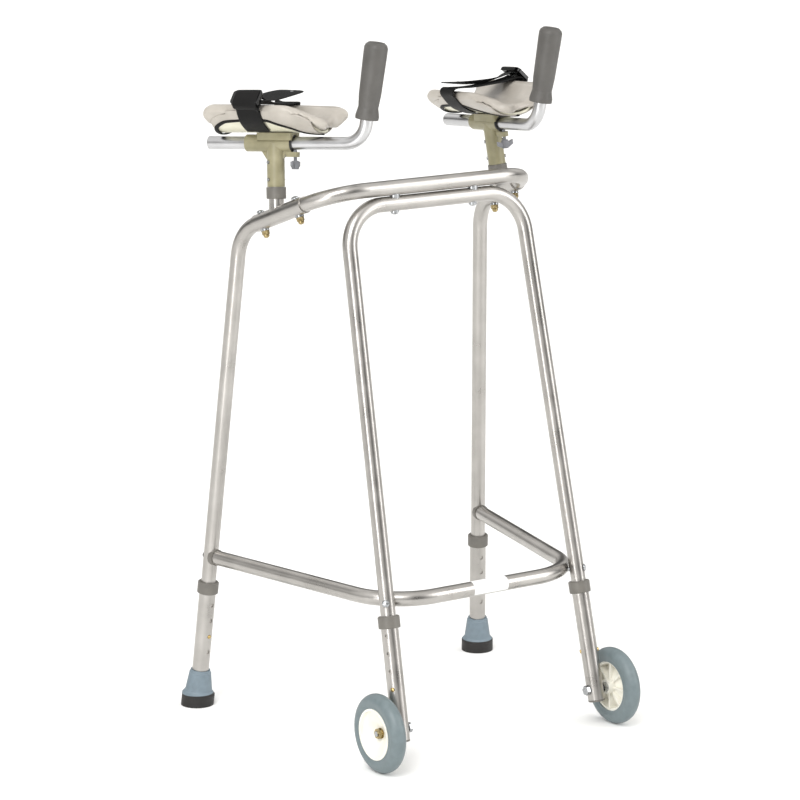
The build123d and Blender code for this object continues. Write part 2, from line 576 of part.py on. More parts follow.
def trough_assembly(side):
    """All pieces of one trough assembly, in their own frame, by node name."""
    _, nose_down, reach, roll = SETTINGS[side]
    outer = 1 if side == "left" else -1
    down = Vector(sin(radians(nose_down)), 0, -cos(radians(nose_down)))
    pieces = {}

    # bracket: socket on the post, clamp tube across it, gussets, screw lug and top plate
    socket_top = Plane(origin=(0, 0, 0), x_dir=(0, 1, 0), z_dir=down)
    clamp_length = CLAMP[1] - CLAMP[0]
    with BuildPart() as bracket:
        add(bar(tube_plane(CLAMP[0]), CLAMP_R, clamp_length))
        add(bar(socket_top, SOCKET_R, -SOCKET_BOTTOM))
        with BuildSketch(Plane.XZ):
            with BuildLine():
                Polyline((-22, -10), (22, -10), (SOCKET_R - 2, -26), (-SOCKET_R + 2, -26), close=True)
            make_face()
        extrude(amount=3, both=True)
        with BuildSketch(Plane.XY.offset(4)):
            with Locations(((PLATE[0] + PLATE[1]) / 2, 0)):
                RectangleRounded(PLATE[1] - PLATE[0], 32, 3)
        extrude(amount=PLATE_TOP - 4)
        with BuildSketch(Plane.XY.offset(-20)):
            with Locations(((LUG[0] + LUG[1]) / 2, 0)):
                RectangleRounded(LUG[1] - LUG[0], 11, 4)
        extrude(amount=7.2)
        with BuildSketch(Plane.XY.offset(-13)):
            with Locations(((LUG[0] + CLAMP[1]) / 2, 0)):
                Rectangle(CLAMP[1] - LUG[0], 9)
        extrude(amount=5)
        channel_cut = bar(Plane(origin=(PLATE[0] - 1, 0, CHANNEL_Z), x_dir=(0, 1, 0), z_dir=(1, 0, 0)),
                          PAD_R + shell_thick + 2 * SEAT, PLATE[1] - PLATE[0] + 2)
        add(channel_cut, mode=Mode.SUBTRACT)
        add(bar(tube_plane(CLAMP[0] - 1), HANDLE_R + RUNNING, clamp_length + 12), mode=Mode.SUBTRACT)
        add(bar(tube_plane(CLAMP[1]), CLAMP_R + 0.25, PLATE[1] - CLAMP[1] + 1), mode=Mode.SUBTRACT)
        add(bar(tube_plane(CLAMP[1] - BUSH_LENGTH), BUSH_R + RUNNING, BUSH_LENGTH + 1), mode=Mode.SUBTRACT)
        bore_top = Plane(origin=down * (CLAMP_R + 2.5), x_dir=(0, 1, 0), z_dir=down)
        add(bar(bore_top, TUBE_R + RUNNING, 80), mode=Mode.SUBTRACT)
        add(bar(Plane(origin=(SCREW_X, 0, -21)), 2.5 + RUNNING, 12), mode=Mode.SUBTRACT)
        for seat in set_screw_planes(down):
            add(bar(seat, SET_SCREW_R + SEAT, 20), mode=Mode.SUBTRACT)
        for x in shell_screw_places():
            add(bar(Plane(origin=(x, 0, CLAMP_R - 0.6)), 1.6, 5), mode=Mode.SUBTRACT)
    pieces["trough_bracket"] = bracket.part

    # screws: two pairs of set screws in the socket, two short screws that hold the shell
    with BuildPart() as screws:
        for seat in set_screw_planes(down):
            add(bar(seat.offset(TUBE_R + 0.1), SET_SCREW_R, 3.6))
        head_top = PLATE_TOP + 2.9
        head = ((0, CLAMP_R), (1.5, CLAMP_R), (1.5, PLATE_TOP + 1.4), (3, head_top), (0, head_top))
        for x in shell_screw_places():
            add(turned(head, Plane(origin=(x, 0, 0))))
    pieces["bracket_screws"] = screws.part

    # collar under the socket
    with BuildPart() as post_collar:
        inside = TUBE_R + RUNNING
        profile = ((inside, 0.3), (14.2, 0.3), (14.5, 1), (14.5, 16), (13.8, 17.5), (inside, 17.5))
        add(turned(profile, Plane(origin=down * -SOCKET_BOTTOM, x_dir=(0, 1, 0), z_dir=down)))
    pieces["post_collar"] = post_collar.part

    # black bush in the clamp's front end
    with BuildPart() as clamp_bush:
        start, lip = CLAMP[1] - BUSH_LENGTH + 0.3, CLAMP[1] + 0.2
        inside, outside, flange = HANDLE_R + RUNNING, BUSH_R, CLAMP_R - 0.3
        profile = ((inside, start), (outside, start), (outside, lip), (flange, lip), (flange, lip + 2),
                   (inside, lip + 2))
        add(turned(profile, Plane(origin=(0, 0, 0), x_dir=(0, 1, 0), z_dir=(1, 0, 0))))
    pieces["clamp_bush"] = clamp_bush.part

    # wing screw that clamps the handle tube
    with BuildPart() as clamp_screw:
        add(bar(Plane(origin=(SCREW_X, 0, -27)), 2.5, 27 - HANDLE_R - 0.2))
        add(turned(((0, -38), (5, -38), (5.6, -36), (5.6, -27), (4.8, -25.5), (0, -25.5)),
                   Plane(origin=(SCREW_X, 0, 0))))
        with BuildSketch(Plane(origin=(SCREW_X, 0, 0), x_dir=(0, 1, 0), z_dir=(1, 0, 0))):
            with BuildLine():
                Polyline((-13.5, -26.5), (-13.5, -33), (-6, -37), (6, -37), (13.5, -33), (13.5, -26.5),
                         (6, -29), (-6, -29), close=True)
            make_face()
        extrude(amount=1.8, both=True)
    pieces["clamp_screw"] = clamp_screw.part

    # handle tube and grip
    tilt, twist = radians(GRIP_LEAN), radians(roll)
    grip_way = Vector(sin(tilt), cos(tilt) * sin(twist), cos(tilt) * cos(twist))
    corner = Vector(reach, 0, 0)
    with BuildPart() as handle_tube:
        tube_end = corner + grip_way * (GRIP_START + GRIP_LENGTH - 8)
        rear_end = Vector(reach - HANDLE_LENGTH, 0, 0)
        add(tube([rear_end, corner, tube_end], HANDLE_BEND, HANDLE_R, HANDLE_WALL))
    pieces["handle_tube"] = handle_tube.part
    with BuildPart() as handgrip:
        bore = HANDLE_R + SEAT
        crown = ((15.6, GRIP_LENGTH - 3), (12, GRIP_LENGTH), (0, GRIP_LENGTH), (0, GRIP_LENGTH - 7.5),
                 (bore, GRIP_LENGTH - 7.5), (bore, 0))
        add(turned(GRIP_PROFILE + crown, Plane(corner + grip_way * GRIP_START, z_dir=grip_way)))
    pieces["handgrip"] = handgrip.part

    # trough: hard shell, pad, strap and buckle
    with BuildPart() as trough_shell:
        shell_start = SHELL_CENTRE - shell_length / 2
        add(arc_wall(shell_start, shell_length, PAD_R + shell_thick, shell_thick - SEAT, shell_rim))
        with BuildSketch(Plane.XY):
            with Locations((SHELL_CENTRE, 0)):
                RectangleRounded(shell_length, shell_width, SHELL_CORNER)
        extrude(amount=2 * shell_rim, mode=Mode.INTERSECT)
        for x in shell_screw_places():
            add(bar(Plane(origin=(x, 0, PLATE_TOP - 1)), 3.1, 6), mode=Mode.SUBTRACT)
    pieces["trough_shell"] = trough_shell.part
    with BuildPart() as trough_pad:
        ends = [x for x, _ in PAD_SIDE]
        add(arc_wall(min(ends), max(ends) - min(ends), PAD_R - SEAT, PAD_THICK, TROUGH_RIM))
        with BuildSketch(Plane.XZ):
            with BuildLine():
                FilletPolyline(*PAD_SIDE, radius=PAD_EDGE, close=True)
            make_face()
        extrude(amount=PAD_R, both=True, mode=Mode.INTERSECT)
    pieces["trough_pad"] = trough_pad.part
    strap_r = PAD_R + shell_thick + 0.2
    strap_width = STRAP_X[1] - STRAP_X[0]
    with BuildPart() as strap:
        for radius, top, mode in ((strap_r + STRAP_THICK, TROUGH_RIM + 0.3 + STRAP_THICK, Mode.ADD),
                                  (strap_r, TROUGH_RIM + 0.3, Mode.SUBTRACT)):
            with BuildSketch(tube_plane(STRAP_X[0])):
                with Locations((0, CHANNEL_Z)):
                    Circle(radius)
                with Locations((0, top + radius)):
                    Rectangle(3 * radius, 2 * radius, mode=Mode.SUBTRACT)
            extrude(amount=strap_width, mode=mode)
        with BuildSketch(Plane.XY):
            with Locations((STRAP_X[0] + strap_width / 2, 0)):
                Rectangle(strap_width + 2, 2 * STRAP_END)
        extrude(amount=TROUGH_RIM / 2, mode=Mode.SUBTRACT)
    pieces["forearm_strap"] = strap.part
    with BuildPart() as buckle:
        length, width, thick = BUCKLE
        face = Vector(0, outer * 0.75, 0.66)
        at_rim = (STRAP_X[0] + strap_width / 2, outer * 61.4, TROUGH_RIM + 5.4)
        buckle_plane = Plane(origin=at_rim, x_dir=(1, 0, 0), z_dir=face)
        with BuildSketch(buckle_plane):
            RectangleRounded(length, width, 4)
            with Locations((0, -6), (0, 6)):
                SlotOverall(length - 8, 4.5, mode=Mode.SUBTRACT)
        extrude(amount=thick)
    pieces["strap_buckle"] = buckle.part
    return pieces


for side in ("left", "right"):
    frame = trough_frame(side)
    for name, piece in trough_assembly(side).items():
        save(frame.location * piece, f"{name}_{side}")
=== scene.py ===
"""Forearm walking frame: finishes, soft pieces and stage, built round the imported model.

The file is laid out as an add-on and run as a script. Pieces of a trough are modelled once, in
millimetres, in the trough's own frame (X forward along the handle tube, Y left, Z up) and then
placed on both sides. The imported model's own pieces keep their shapes and get their finishes here.
"""
import json
from math import cos, pi, radians, sin, sqrt

import bmesh
import bpy
from bpy.props import FloatProperty, FloatVectorProperty, PointerProperty, StringProperty
from mathutils import Matrix, Vector, noise


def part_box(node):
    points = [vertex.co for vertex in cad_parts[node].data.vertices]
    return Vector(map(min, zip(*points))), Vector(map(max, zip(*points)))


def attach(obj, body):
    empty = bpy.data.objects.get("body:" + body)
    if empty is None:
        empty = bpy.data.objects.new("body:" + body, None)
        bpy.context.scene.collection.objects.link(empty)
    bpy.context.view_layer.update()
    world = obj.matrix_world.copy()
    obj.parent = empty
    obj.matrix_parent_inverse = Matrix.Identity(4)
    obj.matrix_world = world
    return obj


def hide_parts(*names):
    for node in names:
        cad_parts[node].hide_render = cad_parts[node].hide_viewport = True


bl_info = {
    "name": "Forearm Walking Frame",
    "version": (1, 0, 0),
    "blender": (4, 5, 0),
    "location": "View3D > Sidebar > Walking Frame",
    "description": "Builds the soft pieces, finishes and stage of a forearm walking frame",
    "category": "Object",
}

MM = 0.001
SIDES = ("left", "right")

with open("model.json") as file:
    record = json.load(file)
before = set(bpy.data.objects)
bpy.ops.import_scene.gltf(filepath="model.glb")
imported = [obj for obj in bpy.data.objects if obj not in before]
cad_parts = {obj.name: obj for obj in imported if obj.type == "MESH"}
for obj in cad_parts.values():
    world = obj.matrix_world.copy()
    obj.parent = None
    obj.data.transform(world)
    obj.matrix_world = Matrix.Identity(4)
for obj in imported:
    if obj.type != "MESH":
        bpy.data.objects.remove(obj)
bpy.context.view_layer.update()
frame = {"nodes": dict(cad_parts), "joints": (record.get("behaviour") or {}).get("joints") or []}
JOINTS = {joint["name"]: joint for joint in frame["joints"]}
CHANNEL_AXIS = 79.0          # height of the axis of the trough's arcs above the handle tube
PAD_INSIDE = 49.0            # radii of the pad and the shell about that axis
PAD_OUTSIDE = 60.8
PAD_PROUD = 66.6             # outer radius of the pad where it rolls over the shell's edges
SHELL_OUTSIDE = 64.0
RIM_ANGLE = radians(66.4)    # from the bottom of the trough up to its rim
SHELL_REAR, SHELL_FRONT = -84.0, 76.0
SHELL_EDGE = 61.0            # the shell's half width, measured round its outside
SHELL_CORNER = 38.0
STRAP_FROM, STRAP_TO = -36.0, 3.0


# ---- finishes ---------------------------------------------------------------------------------
def paint(code):
    """An sRGB hex colour as linear RGBA."""
    channels = [int(code[i:i + 2], 16) / 255 for i in (1, 3, 5)]
    return tuple(c / 12.92 if c <= 0.04045 else ((c + 0.055) / 1.055) ** 2.4 for c in channels) + (1.0,)


def add_node(tree, kind, inputs=None, **settings):
    """Adds one node, sets its properties, and sets or links its sockets."""
    node = tree.nodes.new(kind)
    for key, value in settings.items():
        setattr(node, key, value)
    for key, value in (inputs or {}).items():
        if isinstance(value, bpy.types.NodeSocket):
            tree.links.new(value, node.inputs[key])
        else:
            node.inputs[key].default_value = value
    return node


def calculate(tree, operation, *values):
    """One sum on sockets or numbers, as a Math node's result."""
    node = add_node(tree, "ShaderNodeMath", dict(enumerate(values)), operation=operation)
    return node.outputs["Value"]


def new_finish(name):
    """An empty node material, with its tree and its object coordinates."""
    material = bpy.data.materials.new(name)
    material.use_nodes = True
    tree = material.node_tree
    tree.nodes.clear()
    place = add_node(tree, "ShaderNodeTexCoord").outputs["Object"]
    return material, tree, place


def surface(tree, colour, roughness, height=None, depth=0.0, **fixed):
    """Closes a material: a Principled shader with an optional bump, joined to the output."""
    sockets = {"Base Color": colour, "Roughness": roughness}
    if height is not None:
        bump = add_node(tree, "ShaderNodeBump", {"Height": height, "Distance": depth, "Strength": 1.0})
        sockets["Normal"] = bump.outputs["Normal"]
    for key, value in fixed.items():
        sockets[key.replace("_", " ").title().replace("Ior", "IOR")] = value
    shader = add_node(tree, "ShaderNodeBsdfPrincipled", sockets)
    add_node(tree, "ShaderNodeOutputMaterial", {"Surface": shader.outputs["BSDF"]})


def grain(tree, place, size_mm, detail=3.0):
    """Noise whose features are about size_mm across."""
    return add_node(tree, "ShaderNodeTexNoise",
                    {"Vector": place, "Scale": 1.0 / (size_mm * MM), "Detail": detail})


def between(tree, factor, low, high):
    """A value spread from low to high by a 0-to-1 factor."""
    spread = add_node(tree, "ShaderNodeMapRange", {"Value": factor, "From Min": 0.25, "From Max": 0.75,
                                                   "To Min": low, "To Max": high})
    return spread.outputs["Result"]


def tint(tree, factor, dark, light):
    """A colour between two hex colours."""
    ramp = add_node(tree, "ShaderNodeValToRGB", {"Fac": factor})
    ramp.color_ramp.elements[0].position = 0.3
    ramp.color_ramp.elements[0].color = paint(dark)
    ramp.color_ramp.elements[1].position = 0.7
    ramp.color_ramp.elements[1].color = paint(light)
    return ramp.outputs["Color"]


def anodised_aluminium(name, dark, light):
    """Drawn aluminium tube, etched and anodised: a soft satin gloss with faint cloudy handling marks."""
    material, tree, place = new_finish(name)
    cloud = grain(tree, place, 42)
    etch = grain(tree, place, 1.1, 2.0)          # real etch is about 0.1 mm, drawn coarser so that it shows
    roughness = between(tree, cloud.outputs["Fac"], 0.25, 0.36)
    surface(tree, tint(tree, cloud.outputs["Fac"], dark, light), roughness, etch.outputs["Fac"], 0.012 * MM,
            metallic=1.0)
    return material


def plated_steel(name, dark, light):
    """Zinc-plated or brass hardware: bright, with small uneven patches from the bath."""
    material, tree, place = new_finish(name)
    patch = grain(tree, place, 3.5)
    surface(tree, tint(tree, patch.outputs["Fac"], dark, light),
            between(tree, patch.outputs["Fac"], 0.18, 0.34), patch.outputs["Fac"], 0.02 * MM, metallic=1.0)
    return material


def moulded_plastic(name, dark, light, gloss=0.42, texture_mm=0.9, depth_mm=0.035):
    """Injection-moulded polypropylene or nylon: fine spark-eroded texture and slow flow clouds."""
    material, tree, place = new_finish(name)
    flow = grain(tree, place, 26)
    texture = grain(tree, place, texture_mm, 2.0)
    surface(tree, tint(tree, flow.outputs["Fac"], dark, light),
            between(tree, texture.outputs["Fac"], gloss - 0.05, gloss + 0.09),
            texture.outputs["Fac"], depth_mm * MM, ior=1.49)
    return material


def scuffed_rubber(name, dark, light, roughness=0.62):
    """Vulcanised rubber: matt, with dusty scuffs and pits from the mould."""
    material, tree, place = new_finish(name)
    scuff = grain(tree, place, 11, 6.0)
    pits = grain(tree, place, 1.3, 3.0)
    surface(tree, tint(tree, scuff.outputs["Fac"], dark, light),
            between(tree, scuff.outputs["Fac"], roughness - 0.1, roughness + 0.12),
            pits.outputs["Fac"], 0.06 * MM, ior=1.52)
    return material


def two_shot_rubber(name, tread_height):
    """A grey ferrule moulded over a black tread: the colour changes at one height above the floor."""
    material, tree, place = new_finish(name)
    height = add_node(tree, "ShaderNodeSeparateXYZ", {"Vector": place}).outputs["Z"]
    above = add_node(tree, "ShaderNodeMapRange", {"Value": height, "From Min": (tread_height - 0.15) * MM,
                                                  "From Max": (tread_height + 0.15) * MM})
    scuff = grain(tree, place, 9, 6.0)
    pits = grain(tree, place, 1.3, 3.0)
    upper = tint(tree, scuff.outputs["Fac"], "#66747d", "#717f88")
    tread = tint(tree, scuff.outputs["Fac"], "#0e0c0b", "#191614")
    colour = add_node(tree, "ShaderNodeMix", {"Factor": above.outputs["Result"], "A": tread, "B": upper},
                      data_type="RGBA")
    surface(tree, colour.outputs["Result"], between(tree, scuff.outputs["Fac"], 0.48, 0.66),
            pits.outputs["Fac"], 0.06 * MM, ior=1.52)
    return material


def coated_vinyl(name, dark, light):
    """Upholstery vinyl over foam: embossed grain cells, a soft sheen and faint patchy soiling."""
    material, tree, place = new_finish(name)
    # real grain is about 1 mm, drawn at 2.2 mm so that it shows
    cells = add_node(tree, "ShaderNodeTexVoronoi", {"Vector": place, "Scale": 1.0 / (2.2 * MM)},
                     feature="DISTANCE_TO_EDGE")
    edge = add_node(tree, "ShaderNodeMapRange", {"Value": cells.outputs["Distance"], "From Max": 0.22})
    soil = grain(tree, place, 34, 4.0)
    surface(tree, tint(tree, soil.outputs["Fac"], dark, light), between(tree, soil.outputs["Fac"], 0.3, 0.42),
            edge.outputs["Result"], 0.05 * MM, coat_weight=0.18, coat_roughness=0.25, ior=1.5)
    return material


def woven_webbing(name, thread_mm, dark, light):
    """Flat woven nylon webbing: ribs across the band and a fine twill along it, from the band's own UVs."""
    material, tree, _ = new_finish(name)
    along = add_node(tree, "ShaderNodeTexCoord").outputs["UV"]
    ribs = add_node(tree, "ShaderNodeTexWave", {"Vector": along, "Scale": 0.31 / (thread_mm * MM)},
                    wave_type="BANDS", bands_direction="X")
    twill = add_node(tree, "ShaderNodeTexWave", {"Vector": along, "Scale": 0.31 / (thread_mm * MM)},
                     wave_type="BANDS", bands_direction="DIAGONAL")
    weave = calculate(tree, "MULTIPLY", ribs.outputs["Fac"], twill.outputs["Fac"])
    surface(tree, tint(tree, weave, dark, light), between(tree, weave, 0.55, 0.8), weave, 0.18 * MM,
            sheen_weight=0.03, sheen_roughness=0.4, specular_ior_level=0.18)
    return material


def printed_label(name):
    """A blank white self-adhesive label under clear film."""
    material, tree, _ = new_finish(name)
    where = add_node(tree, "ShaderNodeTexCoord").outputs["UV"]
    paper = add_node(tree, "ShaderNodeTexNoise", {"Vector": where, "Scale": 40.0})
    surface(tree, tint(tree, paper.outputs["Fac"], "#e9eaea", "#f7f7f5"),
            between(tree, paper.outputs["Fac"], 0.24, 0.34), paper.outputs["Fac"], 0.02 * MM, ior=1.46)
    return material


def finish_of(name):
    """The finished material of that name, made the first time it is asked for."""
    return bpy.data.materials.get(name) or FINISHES[name](name)


FINISHES = {
    "anodised_frame_tube": lambda n: anodised_aluminium(n, "#a5a29e", "#b7b4b0"),
    "anodised_handle_tube": lambda n: anodised_aluminium(n, "#b6b6b7", "#c8c8c9"),
    "zinc_plated_steel": lambda n: plated_steel(n, "#8f9193", "#b9bbbd"),
    "yellow_zinc_steel": lambda n: plated_steel(n, "#85744e", "#b7a67c"),
    "brass_button": lambda n: plated_steel(n, "#a88c50", "#d8c08a"),
    "warm_grey_nylon": lambda n: moulded_plastic(n, "#5e5b56", "#6c6963"),
    "olive_nylon": lambda n: moulded_plastic(n, "#7f7a5e", "#979175", gloss=0.36),
    "black_nylon": lambda n: moulded_plastic(n, "#121212", "#1f1f1f", gloss=0.34),
    "buckle_acetal": lambda n: moulded_plastic(n, "#070708", "#111113", gloss=0.2, depth_mm=0.015),
    "grey_knob_nylon": lambda n: moulded_plastic(n, "#6c6d71", "#7e7f84"),
    "cream_abs": lambda n: moulded_plastic(n, "#cbc8b3", "#dad7c4", gloss=0.34),
    "cream_hub_polypropylene": lambda n: moulded_plastic(n, "#dbd8cc", "#e9e7dd", gloss=0.32),
    "grey_pvc_grip": lambda n: moulded_plastic(n, "#4d4b48", "#585653", gloss=0.48, texture_mm=1.4,
                                               depth_mm=0.06),
    "grey_tyre_rubber": lambda n: scuffed_rubber(n, "#616d70", "#6c787b", 0.44),
    "ferrule_rubber": lambda n: two_shot_rubber(n, 18.5),
    "silver_vinyl": lambda n: coated_vinyl(n, "#9f9990", "#b4aea5"),
    "black_webbing": lambda n: woven_webbing(n, 1.6, "#080808", "#191817"),
    "binding_tape": lambda n: woven_webbing(n, 1.2, "#080808", "#171615"),
    "blank_label": printed_label,
}

NODE_FINISHES = {
    "anodised_frame_tube": ("top_rail", "front_hoop", "rear_leg_*", "lower_brace", "post_sleeve_*",
                            "rear_lower_tube_*", "front_lower_tube_*"),
    "anodised_handle_tube": ("handle_tube_*",),
    "zinc_plated_steel": ("frame_bolts", "saddle_washers", "brace_rivets", "axle_bolt_*", "bracket_screws_*"),
    "yellow_zinc_steel": ("dome_nuts", "axle_nut_*"),
    "brass_button": ("rear_leg_button_*", "front_leg_button_outer_*", "front_leg_button_inner_*"),
    "warm_grey_nylon": ("rear_leg_collar_*", "front_leg_collar_*", "post_collar_*", "front_tube_plug_*",
                        "brace_saddles"),
    "olive_nylon": ("trough_bracket_*",),
    "black_nylon": ("clamp_bush_*",),
    "buckle_acetal": ("strap_buckle_*",),
    "grey_knob_nylon": ("clamp_screw_*",),
    "cream_abs": ("trough_shell_*",),
    "cream_hub_polypropylene": ("wheel_hub_*",),
    "grey_pvc_grip": ("handgrip_*",),
    "grey_tyre_rubber": ("wheel_tyre_*",),
    "ferrule_rubber": ("rear_ferrule_*",),
}


def finish_nodes(*names):
    """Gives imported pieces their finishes."""
    for name in names:
        for pattern in NODE_FINISHES[name]:
            for node in {pattern.replace("*", side) for side in SIDES}:
                materials = frame["nodes"][node].data.materials
                materials.clear()
                materials.append(finish_of(name))


# ---- mesh work --------------------------------------------------------------------------------
def trough_matrix(side):
    """Row-frame matrix, in metres, of one trough's own frame."""
    forward = Vector(JOINTS[f"handle_roll_{side}"]["axis"]).normalized()
    up = Vector(JOINTS[f"clamp_screw_turn_{side}"]["axis"]).normalized()
    turn = Matrix((forward, up.cross(forward), up)).transposed().to_4x4()
    return Matrix.Translation(JOINTS[f"handle_roll_{side}"]["pos_m"]) @ turn


def new_piece(name, points, faces, finish, matrix=None, uvs=None):
    """A smooth-shaded mesh object from points in millimetres."""
    matrix = matrix or Matrix.Identity(4)
    mesh = bpy.data.meshes.new(name)
    mesh.from_pydata([matrix @ (Vector(p) * MM) for p in points], [], faces)
    if uvs:
        layer = mesh.uv_layers.new(name="UVMap")
        for loop in mesh.loops:
            layer.data[loop.index].uv = uvs[loop.vertex_index]
    mesh.materials.append(finish_of(finish))
    mesh.polygons.foreach_set("use_smooth", [True] * len(mesh.polygons))
    work = bmesh.new()
    work.from_mesh(mesh)
    bmesh.ops.recalc_face_normals(work, faces=work.faces)
    work.to_mesh(mesh)
    work.free()
    piece = bpy.data.objects.new(name, mesh)
    bpy.context.scene.collection.objects.link(piece)
    return piece


def lattice(rows, columns, wrap_rows=False, wrap_columns=False, start=0):
    """Quads between neighbouring points of a grid that is stored row by row."""
    faces = []
    for r in range(rows if wrap_rows else rows - 1):
        below = (r + 1) % rows
        for c in range(columns if wrap_columns else columns - 1):
            beside = (c + 1) % columns
            corners = (r * columns + c, r * columns + beside, below * columns + beside, below * columns + c)
            faces.append(tuple(start + k for k in corners))
    return faces


def closed_sheet(rows, columns):
    """Faces of a sheet with two skins, stored one after the other, and a border that joins them."""
    half = rows * columns
    faces = lattice(rows, columns) + [tuple(reversed(f)) for f in lattice(rows, columns, start=half)]
    ring = list(range(columns)) + [r * columns + columns - 1 for r in range(1, rows)]
    ring += [(rows - 1) * columns + c for c in range(columns - 2, -1, -1)]
    ring += [r * columns for r in range(rows - 2, 0, -1)]
    return faces + [(a, b, b + half, a + half) for a, b in zip(ring, ring[1:] + ring[:1])]


def reading(table, where):
    """The value of a table of (place, value) pairs, along straight lines between its entries."""
    if where <= table[0][0]:
        return table[0][1]
    for (a, low), (b, high) in zip(table, table[1:]):
        if where <= b:
            return low + (high - low) * (where - a) / (b - a)
    return table[-1][1]


def smooth_path(points, steps=8, closed=False):
    """Points of a Catmull-Rom curve through the given ones."""
    points = [Vector(p) for p in points]
    count = len(points)
    path = []
    for i in range(count if closed else count - 1):
        if closed:
            p0, p1, p2, p3 = (points[(i + k) % count] for k in (-1, 0, 1, 2))
        else:
            p0, p1, p2, p3 = (points[min(max(i + k, 0), count - 1)] for k in (-1, 0, 1, 2))
        for s in range(steps):
            t = s / steps
            path.append(0.5 * (2 * p1 + (p2 - p0) * t + (2 * p0 - 5 * p1 + 4 * p2 - p3) * t * t
                               + (3 * p1 - p0 - 3 * p2 + p3) * t ** 3))
    if not closed:
        path.append(points[-1])
    return path


RIBBON_POINTS = 16
RIBBON_ACROSS, RIBBON_THROUGH = 0.45, 0.6    # powers that square off a band's rounded section


def ribbon(name, path, across, widths, thickness, finish, matrix, closed=False):
    """A band with rounded edges along a path. across gives its width direction at each point."""
    count = len(path)
    points, uvs, run = [], [], 0.0
    for i, centre in enumerate(path):
        before = path[(i - 1) % count] if closed or i else centre
        after = path[(i + 1) % count] if closed or i < count - 1 else centre
        direction = (after - before).normalized()
        side = across[i] - direction * across[i].dot(direction)
        side.normalize()
        outward = direction.cross(side)
        run += (centre - path[i - 1]).length if i else 0.0
        for k in range(RIBBON_POINTS):
            angle = 2 * pi * k / RIBBON_POINTS
            u, v = cos(angle), sin(angle)
            x = abs(u) ** RIBBON_ACROSS * (1 if u >= 0 else -1) * widths[i] / 2
            y = abs(v) ** RIBBON_THROUGH * (1 if v >= 0 else -1) * thickness / 2
            points.append(centre + side * x + outward * y)
            uvs.append((run * MM, x * MM))
    faces = lattice(count, RIBBON_POINTS, wrap_rows=closed, wrap_columns=True)
    if not closed:
        faces.append(tuple(range(RIBBON_POINTS)))
        faces.append(tuple(range((count - 1) * RIBBON_POINTS, count * RIBBON_POINTS)))
    return new_piece(name, points, faces, finish, matrix, uvs)


def on_channel(x, angle, radius):
    """A point of the trough: along the tube, round from the bottom, out from the channel's axis."""
    return Vector((x, radius * sin(angle), CHANNEL_AXIS - radius * cos(angle)))


# ---- the trough's outline: share of the way up the wall, and the distance along the tube ---------
REAR_END = ((0.0, -82), (0.3, -86), (0.5, -91), (0.75, -97), (0.9, -91), (1.0, -77))
FRONT_END_LEFT = ((0.0, 83), (0.3, 84), (0.5, 88), (0.78, 97), (0.9, 91), (1.0, 70))
FRONT_END_RIGHT = ((0.0, 84), (0.25, 93), (0.4, 95), (0.55, 88), (0.75, 72), (0.9, 52), (1.0, 34))
# lower edge of the cover: distance along the tube, and the angle up from the bottom in degrees
COVER_EDGE = ((-84, 0), (-81, 27), (-66, 40), (-49, 43.5), (0, 45.5), (21, 38), (41, 28), (57, 13),
              (70, 4), (76, 0))


def end_distances(angle):
    """Where the trough starts and ends at an angle round its section."""
    share = min(abs(angle) / RIM_ANGLE, 1.0)
    front = FRONT_END_LEFT if angle > 0 else FRONT_END_RIGHT
    blend = min(share / 0.25, 1.0)
    middle = (FRONT_END_LEFT[0][1] + FRONT_END_RIGHT[0][1]) / 2
    return reading(REAR_END, share), middle + (reading(front, share) - middle) * blend


def shell_ends(angle):
    """Where the shell starts and ends at an angle round its section: its corners are cut round."""
    over = max(abs(angle) * SHELL_OUTSIDE - (SHELL_EDGE - SHELL_CORNER), 0.0)
    cut = SHELL_CORNER - sqrt(max(SHELL_CORNER ** 2 - over ** 2, 0.0))
    return SHELL_REAR + cut, SHELL_FRONT - cut


def outside_radius(x, angle):
    """The pad's outer surface: on the shell, then proud of it past the shell's ends and over its rim."""
    rear, front = shell_ends(angle)
    past_rear, past_front = (rear - 1.0 - x) / 8, (x - front - 1.5) / 8
    over_rim = (abs(angle) / RIM_ANGLE - 0.8) / 0.1
    proud = min(max(past_rear, past_front, over_rim, 0.0), 1.0)
    return PAD_OUTSIDE + (PAD_PROUD - PAD_OUTSIDE) * proud * proud * (3 - 2 * proud)


PAD_ROWS, PAD_COLUMNS = 72, 46
EDGE_ROLL = 9.0              # the pad's edges are rounded over this distance
SWELL_FRAMES = 16


def pad_surfaces(slack):
    """The inner and outer skins of the pad, which meet round its edge."""
    inner, outer = [], []
    for row in range(PAD_ROWS):
        t = (1 - cos(pi * row / (PAD_ROWS - 1))) / 2
        for column in range(PAD_COLUMNS):
            s = -cos(pi * column / (PAD_COLUMNS - 1))
            angle = RIM_ANGLE * s
            rear, front = end_distances(angle)
            x = rear + (front - rear) * t
            to_edge = min(t * (front - rear), (1 - t) * (front - rear), (1 - abs(s)) * RIM_ANGLE * PAD_INSIDE)
            near = 1 - min(to_edge, EDGE_ROLL) / EDGE_ROLL
            full = sqrt(max(1 - near * near, 0.0))
            high, low = PAD_INSIDE + slack, outside_radius(x, angle) - slack
            middle = (high + low) / 2
            inner.append(on_channel(x, angle, middle + (high - middle) * full))
            outer.append(on_channel(x, angle, middle + (low - middle) * full))
    return inner, outer


